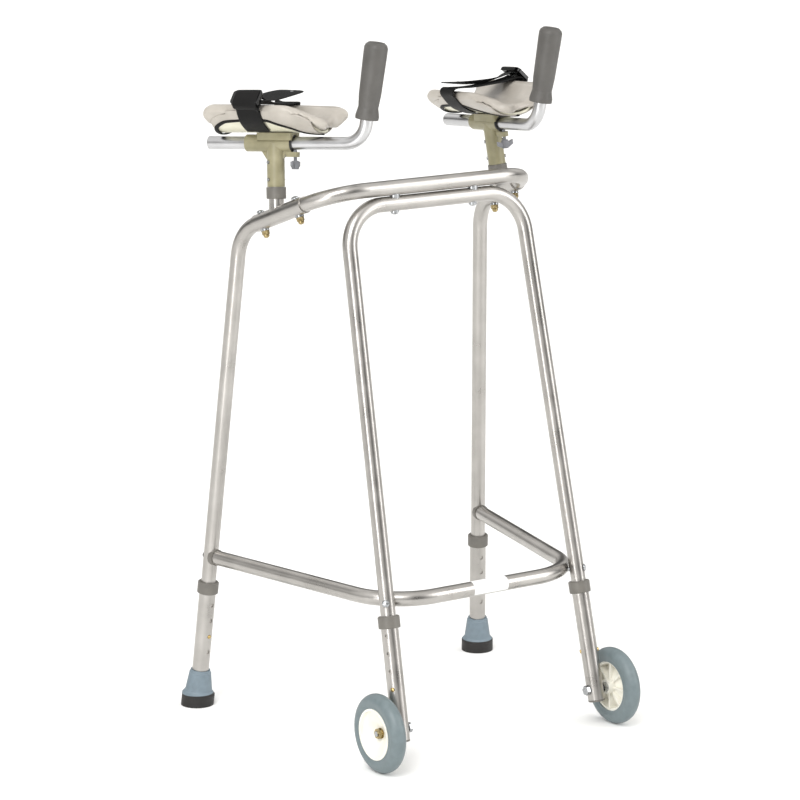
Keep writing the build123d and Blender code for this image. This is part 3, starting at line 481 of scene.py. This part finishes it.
def pad_mesh(name, slack):
    """The pad as one closed mesh in its own frame, still in millimetres."""
    inner, outer = pad_surfaces(slack)
    faces = lattice(PAD_ROWS, PAD_COLUMNS)
    faces += [tuple(reversed(f)) for f in lattice(PAD_ROWS, PAD_COLUMNS, start=len(inner))]
    piece = new_piece(name, inner + outer, faces, "silver_vinyl")
    work = bmesh.new()
    work.from_mesh(piece.data)
    bmesh.ops.remove_doubles(work, verts=work.verts, dist=0.02 * MM)
    bmesh.ops.dissolve_degenerate(work, edges=work.edges, dist=0.01 * MM)
    bmesh.ops.recalc_face_normals(work, faces=work.faces)
    work.to_mesh(piece.data)
    work.free()
    return piece


def inflate(piece, frames, pressure, voxel_mm, cap_mm):
    """Lets the pad swell as a sealed cloth bag, with no point moving further than the cap."""
    scene = bpy.context.scene
    bpy.context.view_layer.objects.active = piece
    remesh = piece.modifiers.new("remesh", "REMESH")
    remesh.mode = "VOXEL"
    remesh.voxel_size = voxel_mm * MM
    bpy.ops.object.modifier_apply(modifier=remesh.name)
    before = [v.co.copy() for v in piece.data.vertices]
    cloth = piece.modifiers.new("swell", "CLOTH")
    cloth.settings.use_pressure = True
    cloth.settings.uniform_pressure_force = pressure
    cloth.settings.effector_weights.gravity = 0
    cloth.settings.quality = 6
    cloth.settings.tension_stiffness = 18
    cloth.settings.compression_stiffness = 18
    cloth.point_cache.frame_start = 1
    cloth.point_cache.frame_end = frames
    for number in range(1, frames + 1):
        scene.frame_set(number)
    bpy.ops.object.modifier_apply(modifier=cloth.name)
    for vertex, start in zip(piece.data.vertices, before):
        moved = vertex.co - start
        if moved.length > cap_mm * MM:
            vertex.co = start + moved.normalized() * cap_mm * MM
    scene.frame_set(1)


def crease(point):
    """How far a point of the pad is pushed out by the vinyl's folds, in millimetres."""
    angle_share = abs(Vector((0, point.y, point.z - CHANNEL_AXIS)).angle(Vector((0, 0, -1)))) / RIM_ANGLE
    fan = noise.noise(Vector((point.x * 0.012, angle_share * 3.1, 4.7)))
    pull = noise.noise(Vector((point.x * 0.055, point.y * 0.022, point.z * 0.03)))
    front = min(max((point.x - 35) / 40, 0), 1)
    ends = min(max((abs(point.x) - 45) / 35, 0), 1)
    fold = abs(noise.noise(Vector((point.x * 0.03, point.y * 0.1, 9.1))))
    return 0.9 * fan + 0.8 * pull * (0.4 + 0.6 * ends) - 2.2 * fold * front


def settle(piece):
    """Presses folds into the pad and keeps it off the shell it lies in and the tube below."""
    centre_line = Vector((0, 0, CHANNEL_AXIS))
    for vertex in piece.data.vertices:
        point = vertex.co / MM
        radial = Vector((0, point.y, point.z)) - centre_line
        radius = radial.length
        radial.normalize()
        inside = radius < (PAD_INSIDE + PAD_OUTSIDE) / 2
        radius += -crease(point) if inside else 0.4 * crease(point)
        angle = Vector((0, 0, -1)).angle(radial)
        if not inside:
            radius = min(radius, outside_radius(point.x, angle) + (1.2 if radius > SHELL_OUTSIDE else 0.0))
        vertex.co = (Vector((point.x, 0, 0)) + centre_line + radial * radius) * MM


def copy_to(template, name, matrix):
    """A copy of a mesh piece, placed by a matrix that is put into its points."""
    piece = template.copy()
    piece.data = template.data.copy()
    piece.name = piece.data.name = name
    piece.data.transform(matrix)
    bpy.context.scene.collection.objects.link(piece)
    return piece


# ---- cover skin, binding, straps ----------------------------------------------------------------
COVER_INSIDE, COVER_OUTSIDE = 64.25, 65.9
COVER_TOP = 0.9              # share of the way up the wall where the cover passes under the pad's rolled edge
COVER_PAST = 9.0             # the cover reaches this far past the shell's ends, under the pad
COVER_ROWS, COVER_COLUMNS = 64, 22
COVER_DRAPE = 0.9            # how far the cover stands off the shell half way down
BINDING_THICKNESS = 2.2
BINDING_WIDTH, BINDING_WIDER = 4.6, 1.6      # the tape's width, and how much wider it is at the rear


def cover_top(x):
    """How far up the wall the cover goes: under the pad's rolled edge, and not past the shell's corners."""
    angle = COVER_TOP * RIM_ANGLE
    while angle > 0.1 and not shell_ends(angle)[0] - COVER_PAST < x < shell_ends(angle)[1] + COVER_PAST:
        angle -= 0.01
    return angle


def cover_panel(name, way, matrix):
    """One side of the vinyl cover, drawn down outside the shell to its bound edge."""
    first, last = COVER_EDGE[0][0] + 0.5, COVER_EDGE[-1][0] - 0.5
    skins = {COVER_OUTSIDE: [], COVER_INSIDE: []}
    for row in range(COVER_ROWS):
        x = first + (last - first) * row / (COVER_ROWS - 1)
        low = radians(reading(COVER_EDGE, x)) + 0.008
        top = cover_top(x)
        for column in range(COVER_COLUMNS):
            angle = low + (top - low) * column / (COVER_COLUMNS - 1)
            wrinkle = 0.55 * noise.noise(Vector((x * 0.07, way * 5, angle * 2.4)))
            drape = COVER_DRAPE * sin(pi * column / (COVER_COLUMNS - 1)) * (0.5 + wrinkle)
            for radius, skin in skins.items():
                skin.append(on_channel(x, way * angle, radius + drape))
    points = skins[COVER_OUTSIDE] + skins[COVER_INSIDE]
    return new_piece(name, points, closed_sheet(COVER_ROWS, COVER_COLUMNS), "silver_vinyl", matrix)


def cover_binding(name, matrix):
    """Black elastic tape folded over the cover's lower edge, all the way round the shell's window."""
    stops = [(x, radians(a)) for x, a in COVER_EDGE]
    ring = stops + [(x, -a) for x, a in stops[-2:0:-1]]
    flat = smooth_path([(x, a * COVER_OUTSIDE, 0) for x, a in ring], 6, closed=True)
    path = [on_channel(p.x, p.y / COVER_OUTSIDE, COVER_OUTSIDE + 0.2) for p in flat]
    outward = [Vector((0, p.y, p.z - CHANNEL_AXIS)).normalized() for p in path]
    count = len(path)
    across = [(path[(i + 1) % count] - path[i - 1]).cross(outward[i]).normalized() for i in range(count)]
    widths = [BINDING_WIDTH + BINDING_WIDER * min(max((-40 - p.x) / 30, 0), 1) for p in path]
    return ribbon(name, path, across, widths, BINDING_THICKNESS, "binding_tape", matrix, closed=True)


def strap_route(outer, sag, drift):
    """The strap's middle line: out of the shell, up one wall, over the trough and down the other."""
    up = [(66.0 + 1.4 * min(max((a - 30) / 12, 0), 1), a) for a in (19, 26, 34, 42, 50, 58)]
    wall = [(r * sin(radians(a)), CHANNEL_AXIS - r * cos(radians(a))) for r, a in up]
    half = wall + [(62.4, 51.0), (62.2, 56.5), (58.2, 60.0), (50.0, 60.3), (28, 60.0 - 0.8 * sag)]
    stops = half + [(0, 60.0 - sag)] + [(-y, z) for y, z in reversed(half)]
    shifts = [drift * max(sin(pi * (i - len(half) / 2) / len(half)), 0) for i in range(len(stops))]
    middle = (STRAP_FROM + STRAP_TO) / 2
    return smooth_path([(middle + shift, outer * y, z) for shift, (y, z) in zip(shifts, stops)], 7)


RIVET_RADIUS, RIVET_HEIGHT = 2.6, 1.1
# free ends of the straps, across the trough and up from the handle tube
TAILS = {
    "left": ((60, 66), (50, 67.5), (34, 63.5), (11, 61.6), (-14, 63.0), (-38, 66), (-69, 71)),
    "right": ((60, 66), (50, 67), (37, 64.5), (12, 67), (-16, 72), (-34, 75), (-52, 77)),
}


def strap_tail(side, outer, lean):
    """The strap's free end: back out of the buckle and over the trough, leaning forward as it goes."""
    middle = (STRAP_FROM + STRAP_TO) / 2
    last = len(TAILS[side]) - 1
    stops = [(middle + lean * (i / last) ** 1.3, outer * y, z) for i, (y, z) in enumerate(TAILS[side])]
    return smooth_path(stops, 8)


def strap_fold(outer):
    """The webbing that doubles back over the outside of the buckle."""
    stops = ((63.0, 48.0), (68.5, 49.5), (72.6, 54.0), (70.6, 60.0), (64.6, 67.6), (58.4, 74.0), (53.0, 75.2),
             (49.5, 71.5))
    middle = (STRAP_FROM + STRAP_TO) / 2
    return smooth_path([(middle, outer * y, z) for y, z in stops], 7)


def tail_widths(count, width):
    """The strap's width along its free end, which is cut round."""
    closing = [min((count - 1 - i) / 7, 1.0) for i in range(count)]
    return [max(width * sqrt(max(1 - (1 - c) ** 2, 0.0)), 2.0) for c in closing]


def dome(name, centre, normal, radius, height, finish, matrix):
    """A low round rivet head."""
    side = normal.orthogonal().normalized()
    other = normal.cross(side)
    rings, around = 7, 28
    points = []
    for ring in range(rings):
        tilt = 0.5 * pi * ring / (rings - 1)
        for k in range(around):
            a = 2 * pi * k / around
            flat = (side * cos(a) + other * sin(a)) * radius * cos(tilt)
            points.append(centre + flat + normal * height * sin(tilt))
    faces = lattice(rings, around, wrap_columns=True)
    faces.append(tuple(range(around)))
    return new_piece(name, points, faces, finish, matrix)


LABEL_ROWS, LABEL_COLUMNS = 24, 40
LABEL_SKINS = (0.22, 0.02)   # heights of the label's outer and inner skins above the tube


def wrapped_label(name, label):
    """The blank label, wrapped part of the way round the front of the lower brace."""
    low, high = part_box("lower_brace")
    centre_y = low.y / MM + (high.z - low.z) / MM / 2
    centre_z = (low.z + high.z) / 2 / MM
    tube_radius = (high.z - low.z) / MM / 2
    points, uvs = [], []
    for skin in LABEL_SKINS:
        for r in range(LABEL_ROWS):
            x = label.offset + label.length * (r / (LABEL_ROWS - 1) - 0.5)
            for c in range(LABEL_COLUMNS):
                angle = radians(label.turn + label.wrap * (c / (LABEL_COLUMNS - 1) - 0.5))
                reach = tube_radius + skin
                points.append((x, centre_y - reach * cos(angle), centre_z + reach * sin(angle)))
                uvs.append((r / LABEL_ROWS, c / LABEL_COLUMNS))
    return new_piece(name, points, closed_sheet(LABEL_ROWS, LABEL_COLUMNS), "blank_label", uvs=uvs)


# ---- properties ---------------------------------------------------------------------------------
class WalkerPadSettings(bpy.types.PropertyGroup):
    """Sizes of the padded troughs."""
    pressure: FloatProperty(name="Pressure", default=3.0, min=0,
                            description="Pressure that swells the pads")
    slack: FloatProperty(name="Slack", default=1.0,
                         description="How much smaller the pad starts, in millimetres")
    voxel: FloatProperty(name="Voxel", default=3.6,
                         description="Mesh size of the swollen pad, in millimetres")
    cap: FloatProperty(name="Cap", default=3.0,
                       description="Furthest that a point may swell, in millimetres")


class WalkerStrapSettings(bpy.types.PropertyGroup):
    """Sizes of the forearm straps."""
    thickness: FloatProperty(name="Thickness", default=1.7,
                             description="Webbing thickness, in millimetres")
    sag_left: FloatProperty(name="Left Sag", default=2.5,
                            description="How far the left strap hangs, in millimetres")
    sag_right: FloatProperty(name="Right Sag", default=3.5,
                             description="How far the right strap hangs, in millimetres")
    drift_left: FloatProperty(name="Left Drift", default=6.0,
                              description="Forward slant of the left strap, in millimetres")
    drift_right: FloatProperty(name="Right Drift", default=13.0,
                               description="Forward slant of the right strap, in millimetres")
    lean_left: FloatProperty(name="Left Lean", default=2.0,
                             description="Forward lean of the left free end, in millimetres")
    lean_right: FloatProperty(name="Right Lean", default=31.0,
                              description="Forward lean of the right free end, in millimetres")


class WalkerLabelSettings(bpy.types.PropertyGroup):
    """Size and place of the blank label on the lower brace."""
    length: FloatProperty(name="Length", default=60.0,
                          description="Label length along the tube, in millimetres")
    offset: FloatProperty(name="Offset", default=3.0,
                          description="Label centre from the middle, in millimetres")
    wrap: FloatProperty(name="Wrap", default=205.0,
                        description="How far it goes round the tube, in degrees")
    turn: FloatProperty(name="Turn", default=62.0,
                        description="Middle of the label round the tube, in degrees")


class WalkerStageSettings(bpy.types.PropertyGroup):
    """Camera, floor and lights."""
    azimuth: FloatProperty(name="Azimuth", subtype="ANGLE", default=radians(-33.89),
                           description="Direction of view, round from straight at the front")
    elevation: FloatProperty(name="Elevation", subtype="ANGLE", default=radians(12.57),
                             description="Camera height above the target, as an angle")
    distance: FloatProperty(name="Distance", subtype="DISTANCE", default=5.389,
                            description="Camera to target")
    target: FloatVectorProperty(name="Target", subtype="TRANSLATION", default=(0.0411, 0.125, 0.4567),
                                description="Point that the camera looks at")
    lens: FloatProperty(name="Lens", unit="CAMERA", default=159.4,
                        description="Focal length in millimetres")
    floor: StringProperty(name="Floor Colour", default="#f6f6f5",
                          description="Colour of the floor, as an sRGB hex code")
    light: FloatProperty(name="Light", default=1.15,
                         description="Strength of the light from all round")
    panels: FloatProperty(name="Panels", default=5.0,
                          description="How many light panels stand round the object")
    gaps: FloatProperty(name="Gaps", subtype="FACTOR", default=0.12, min=0, max=1,
                        description="Light between the panels, as a share of theirs")


# ---- operators ----------------------------------------------------------------------------------
class WALKER_OT_tubes(bpy.types.Operator):
    """Finishes the frame's tubes and fixings and puts the blank label on the brace"""
    bl_idname = "walker.tubes"
    bl_label = "Frame Tubes"

    def execute(self, context):
        finish_nodes("anodised_frame_tube", "anodised_handle_tube", "zinc_plated_steel", "yellow_zinc_steel")
        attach(wrapped_label("brace_label", context.scene.walker_label), "frame")
        return {"FINISHED"}


class WALKER_OT_legs(bpy.types.Operator):
    """Finishes the leg collars, snap buttons, plugs and ferrules"""
    bl_idname = "walker.legs"
    bl_label = "Legs and Ferrules"

    def execute(self, context):
        finish_nodes("warm_grey_nylon", "brass_button", "ferrule_rubber")
        return {"FINISHED"}


class WALKER_OT_wheels(bpy.types.Operator):
    """Finishes the front wheels"""
    bl_idname = "walker.wheels"
    bl_label = "Wheels"

    def execute(self, context):
        finish_nodes("grey_tyre_rubber", "cream_hub_polypropylene")
        return {"FINISHED"}


class WALKER_OT_brackets(bpy.types.Operator):
    """Finishes the trough brackets, clamps, handgrips and trough shells"""
    bl_idname = "walker.brackets"
    bl_label = "Brackets and Handles"

    def execute(self, context):
        finish_nodes("olive_nylon", "black_nylon", "grey_knob_nylon", "grey_pvc_grip", "cream_abs")
        return {"FINISHED"}


class WALKER_OT_pads(bpy.types.Operator):
    """Builds the padded vinyl troughs with their covers and bound edges"""
    bl_idname = "walker.pads"
    bl_label = "Trough Pads"

    def execute(self, context):
        settings = context.scene.walker_pads
        template = pad_mesh("pad_template", settings.slack)
        inflate(template, SWELL_FRAMES, settings.pressure, settings.voxel, settings.cap)
        settle(template)
        template.data.polygons.foreach_set("use_smooth", [True] * len(template.data.polygons))
        if not template.data.materials:
            template.data.materials.append(finish_of("silver_vinyl"))
        for side in SIDES:
            matrix = trough_matrix(side)
            body = f"trough_{side}"
            pad = copy_to(template, f"forearm_pad_{side}", matrix)
            pad.modifiers.new("smooth", "SUBSURF").levels = 1
            pad.modifiers["smooth"].render_levels = 1
            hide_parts(f"trough_pad_{side}")
            pieces = [pad]
            for edge, way in (("inner", -1), ("outer", 1)):
                turned = way if side == "left" else -way
                pieces.append(cover_panel(f"cover_{edge}_{side}", turned, matrix))
            pieces.append(cover_binding(f"cover_binding_{side}", matrix))
            for piece in pieces:
                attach(piece, body)
        bpy.data.objects.remove(template)
        return {"FINISHED"}


class WALKER_OT_straps(bpy.types.Operator):
    """Builds the forearm straps with their free ends, and finishes the buckles"""
    bl_idname = "walker.straps"
    bl_label = "Forearm Straps"

    def execute(self, context):
        settings = context.scene.walker_straps
        finish_nodes("buckle_acetal")
        width = STRAP_TO - STRAP_FROM - 1
        for side, outer in (("left", 1), ("right", -1)):
            matrix = trough_matrix(side)
            body = f"trough_{side}"
            route = strap_route(outer, getattr(settings, f"sag_{side}"), getattr(settings, f"drift_{side}"))
            forward = [Vector((1, 0, 0))] * len(route)
            strap = ribbon(f"strap_band_{side}", route, forward, [width] * len(route), settings.thickness,
                           "black_webbing", matrix)
            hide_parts(f"forearm_strap_{side}")
            fold_route = strap_fold(outer)
            fold = ribbon(f"strap_fold_{side}", fold_route, forward, [width] * len(fold_route),
                          settings.thickness, "black_webbing", matrix)
            tail_route = strap_tail(side, outer, getattr(settings, f"lean_{side}"))
            count = len(tail_route)
            twist = [Vector((1, 0, outer * 0.25 * sin(pi * i / count))).normalized() for i in range(count)]
            tail = ribbon(f"strap_tail_{side}", tail_route, twist, tail_widths(count, width - 5),
                          settings.thickness, "black_webbing", matrix)
            near_end = tail_route[-8]
            up = (tail_route[-7] - tail_route[-9]).normalized().cross(twist[-8]).normalized()
            if up.z < 0:
                up.negate()
            rivet = dome(f"strap_rivet_{side}", near_end + up * settings.thickness / 2, up,
                         RIVET_RADIUS, RIVET_HEIGHT, "zinc_plated_steel", matrix)
            for piece in (strap, fold, tail, rivet):
                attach(piece, body)
        return {"FINISHED"}


# name, kind, power, place, and the angle of a sun or the width of a strip
LIGHTS = (("key", "SUN", 1.35, (-2.6, -2.2, 4.2), 0.5),
          ("fill", "SUN", 0.7, (3.0, -2.6, 2.6), 0.7),
          ("strip_left", "AREA", 26.0, (-2.3, -1.2, 1.2), 0.5),
          ("strip_right", "AREA", 16.0, (1.9, -2.4, 1.3), 0.4))
STRIP_HEIGHT = 2.4
LIGHT_TARGET = Vector((0, 0, 0.5))
FLOOR_HALF = 60.0


def studio_world(panels, gaps, strength):
    """Light from all round: bright panels, and darker gaps that give the tubes their bands."""
    world = bpy.data.worlds.new("studio")
    world.use_nodes = True
    tree = world.node_tree
    tree.nodes.clear()
    towards = add_node(tree, "ShaderNodeTexCoord").outputs["Generated"]
    split = add_node(tree, "ShaderNodeSeparateXYZ", {"Vector": towards})
    turn = calculate(tree, "ARCTAN2", split.outputs["Y"], split.outputs["X"])
    swing = calculate(tree, "SINE", calculate(tree, "MULTIPLY", turn, panels))
    band = add_node(tree, "ShaderNodeMapRange",
                    {"Value": swing, "From Min": -0.9, "From Max": 0.1, "To Min": gaps, "To Max": 1.0},
                    interpolation_type="SMOOTHSTEP")
    # the panels are dimmer near the floor
    low = add_node(tree, "ShaderNodeMapRange",
                   {"Value": split.outputs["Z"], "From Min": 0.02, "From Max": 0.45,
                    "To Min": 0.42, "To Max": 1.0}, interpolation_type="SMOOTHSTEP")
    walls = calculate(tree, "MULTIPLY", band.outputs["Result"], low.outputs["Result"])
    over = add_node(tree, "ShaderNodeMapRange",
                    {"Value": split.outputs["Z"], "From Min": 0.5, "From Max": 0.85})
    level = calculate(tree, "MAXIMUM", walls, over.outputs["Result"])
    glow = add_node(tree, "ShaderNodeBackground",
                    {"Color": paint("#fffefc"), "Strength": calculate(tree, "MULTIPLY", level, strength)})
    add_node(tree, "ShaderNodeOutputWorld", {"Surface": glow.outputs["Background"]})
    return world


class WALKER_OT_stage(bpy.types.Operator):
    """Sets the camera, the pale floor and the soft studio light"""
    bl_idname = "walker.stage"
    bl_label = "Stage"

    def execute(self, context):
        settings = context.scene.walker_stage
        scene = context.scene
        camera = bpy.data.objects.new("camera", bpy.data.cameras.new("camera"))
        scene.collection.objects.link(camera)
        a, e = settings.azimuth, settings.elevation
        back = Vector((sin(a) * cos(e), -cos(a) * cos(e), sin(e)))
        camera.location = Vector(settings.target) + back * settings.distance
        camera.rotation_euler = (-back).to_track_quat("-Z", "Y").to_euler()
        camera.data.lens = settings.lens
        camera.data.sensor_width = 36.0
        camera.data.clip_end = 200.0
        scene.camera = camera

        mesh = bpy.data.meshes.new("floor")
        corners = [(x * FLOOR_HALF, y * FLOOR_HALF, 0) for x, y in ((-1, -1), (1, -1), (1, 1), (-1, 1))]
        mesh.from_pydata(corners, [], [(0, 1, 2, 3)])
        floor = bpy.data.objects.new("floor", mesh)
        scene.collection.objects.link(floor)
        material, tree, place = new_finish("studio_floor")
        wash = grain(tree, place, 900)
        surface(tree, tint(tree, wash.outputs["Fac"], settings.floor, "#f8f8f7"), 0.8)
        mesh.materials.append(material)

        scene.world = studio_world(settings.panels, settings.gaps, settings.light)
        scene.view_settings.view_transform = "Standard"
        for name, kind, energy, position, spread in LIGHTS:
            light = bpy.data.objects.new(name, bpy.data.lights.new(name, kind))
            light.data.energy = energy
            if kind == "SUN":
                light.data.angle = spread
            else:
                light.data.shape = "RECTANGLE"
                light.data.size = spread
                light.data.size_y = STRIP_HEIGHT
            light.location = position
            aim = LIGHT_TARGET - Vector(position)
            light.rotation_euler = aim.to_track_quat("-Z", "Y").to_euler()
            scene.collection.objects.link(light)
        return {"FINISHED"}


OPERATORS = (WALKER_OT_stage, WALKER_OT_tubes, WALKER_OT_legs, WALKER_OT_wheels, WALKER_OT_brackets,
             WALKER_OT_pads, WALKER_OT_straps)


class WALKER_PT_panel(bpy.types.Panel):
    """Lists the steps that build the walking frame's looks"""
    bl_label = "Walking Frame"
    bl_idname = "WALKER_PT_panel"
    bl_space_type = "VIEW_3D"
    bl_region_type = "UI"
    bl_category = "Walking Frame"

    def draw(self, context):
        for operator in OPERATORS:
            self.layout.operator(operator.bl_idname)


SETTINGS = {
    "walker_pads": WalkerPadSettings,
    "walker_straps": WalkerStrapSettings,
    "walker_label": WalkerLabelSettings,
    "walker_stage": WalkerStageSettings,
}


def register():
    for group in SETTINGS.values():
        bpy.utils.register_class(group)
    for name, group in SETTINGS.items():
        setattr(bpy.types.Scene, name, PointerProperty(type=group))
    for cls in OPERATORS + (WALKER_PT_panel,):
        bpy.utils.register_class(cls)


def unregister():
    for cls in reversed(OPERATORS + (WALKER_PT_panel,)):
        bpy.utils.unregister_class(cls)
    for name, group in SETTINGS.items():
        delattr(bpy.types.Scene, name)
        bpy.utils.unregister_class(group)


def main():
    register()
    for operator in OPERATORS:
        group, name = operator.bl_idname.split(".")
        getattr(getattr(bpy.ops, group), name)()


if __name__ == "__main__":
    main()
